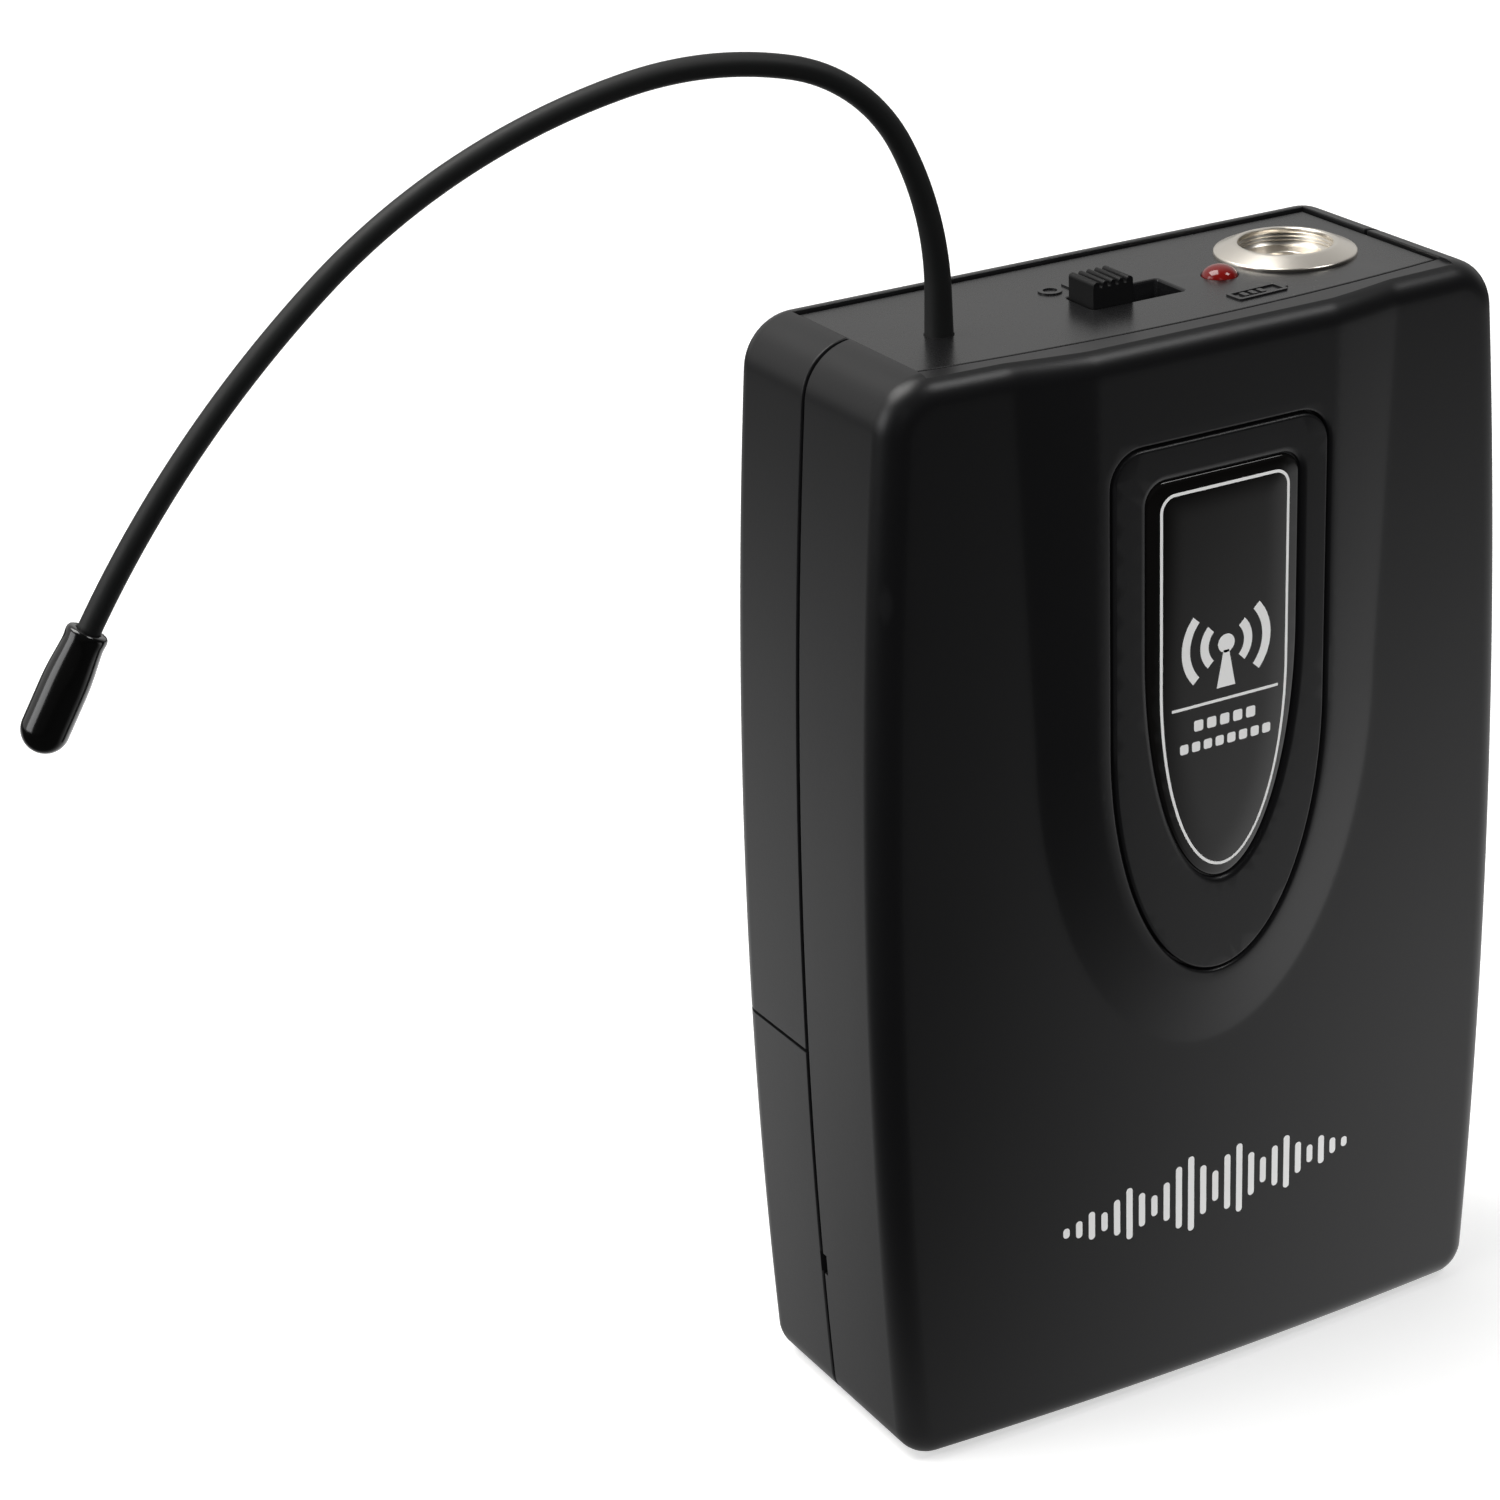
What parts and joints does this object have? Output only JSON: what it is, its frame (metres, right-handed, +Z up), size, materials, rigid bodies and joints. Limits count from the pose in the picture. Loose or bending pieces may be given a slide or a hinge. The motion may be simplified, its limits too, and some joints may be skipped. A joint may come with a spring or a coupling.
{
  "type": "wireless bodypack transmitter",
  "caption": "Pocket wireless microphone transmitter: barrel-sided black case with flexible whip aerial, slide switch, locking microphone socket, sliding battery door and belt clip.",
  "frame": {"origin": "middle of the case's bottom face, on the plane where the front and rear shells part", "axes": "+Z up towards the control plate, +Y towards the belt clip (the badge faces -Y), +X to the right seen from the front"},
  "size_m": [0.1298, 0.0345, 0.1256],
  "materials": {
    "case_plastic": "satin, fine moulded texture",
    "plate_plastic": "semi-gloss",
    "label_gloss": "high gloss",
    "nickel": "satin nickel plate",
    "insulator": "matte",
    "gold": "gold plate",
    "wire_insulation": "flexible",
    "led_red": "clear tinted",
    "tinned": "tin plated",
    "steel": "zinc plated",
    "spring_steel": "bright",
    "phenolic": "matte",
    "knob_plastic": "matte",
    "board": "solder mask",
    "ic_black": "matte",
    "capacitor": "sleeved",
    "aluminium": "satin",
    "ferrite": "matte",
    "trimmer_blue": "gloss",
    "trimmer_white": "gloss",
    "tray_plastic": "matte",
    "cell": "printed sleeve",
    "rubber": "matte",
    "cable_jacket": "matte",
    "brass": "bare",
    "cap_gloss": "gloss"
  },
  "bodies": {
    "case": {"front_shell": "case_plastic", "badge_insert": "case_plastic", "badge_label": "label_gloss", "rear_shell": "case_plastic", "control_plate": "plate_plastic", "jack_shell": "nickel", "jack_face": "nickel", "jack_insulator": "insulator", "jack_pins": "gold", "jack_washer": "nickel", "jack_nut": "nickel", "jack_wires": "wire_insulation", "led_lens": "led_red", "led_leads": "tinned", "switch_frame": "steel", "switch_base": "phenolic", "switch_terminals": "tinned", "control_board": "board", "circuit_board": "board", "board_screws": "steel", "rf_shield_can": "tinned", "crystal": "tinned", "chips": "ic_black", "capacitors": "capacitor", "coil_cans": "aluminium", "coil_slugs": "ferrite", "chip_resistors": "ic_black", "gain_trimmer": "trimmer_blue", "battery_tray": "tray_plastic", "battery_cell_1": "cell", "battery_cell_2": "cell", "contact_series": "nickel", "contact_tabs": "nickel", "contact_spring_1": "spring_steel", "contact_spring_2": "spring_steel", "battery_wires": "wire_insulation", "antenna_grommet": "rubber", "antenna_stub": "cable_jacket", "antenna_ferrule": "brass", "antenna_lead": "brass", "clip_base": "spring_steel", "clip_screws": "steel", "case_screws": "steel"},
    "battery_door": {"battery_door": "case_plastic"},
    "power_switch": {"switch_knob": "knob_plastic", "switch_slider": "knob_plastic", "switch_bridge": "gold"},
    "gain_rotor": {"gain_rotor": "trimmer_white"},
    "antenna_whip": {"antenna_whip": "cable_jacket", "antenna_cap": "cap_gloss"},
    "belt_clip": {"clip_arm": "spring_steel"}
  },
  "joints": [
    {"name": "power_switch_slide", "type": "slide", "parent": "case", "child": "power_switch", "axis": [1, 0, 0], "range_m": [0, 0.0048]},
    {"name": "battery_door_slide", "type": "slide", "parent": "case", "child": "battery_door", "axis": [0, 0, -1], "range_m": [0, 0.04]},
    {"name": "gain_trim", "type": "hinge", "parent": "case", "child": "gain_rotor", "pos_m": [0, -0.0061, 0.0184], "axis": [0, 1, 0], "range_deg": [-135, 135]},
    {"name": "antenna_flex", "type": "hinge", "parent": "case", "child": "antenna_whip", "pos_m": [-0.01927, -0.0027, 0.1035], "axis": [0.1392, 0.9903, 0], "range_deg": [-15, 40], "stiffness_Nm_per_rad": 0.02},
    {"name": "clip_flex", "type": "hinge", "parent": "case", "child": "belt_clip", "pos_m": [0, 0.01545, 0.0963], "axis": [1, 0, 0], "range_deg": [0, 12], "stiffness_Nm_per_rad": 1.5}
  ]
}
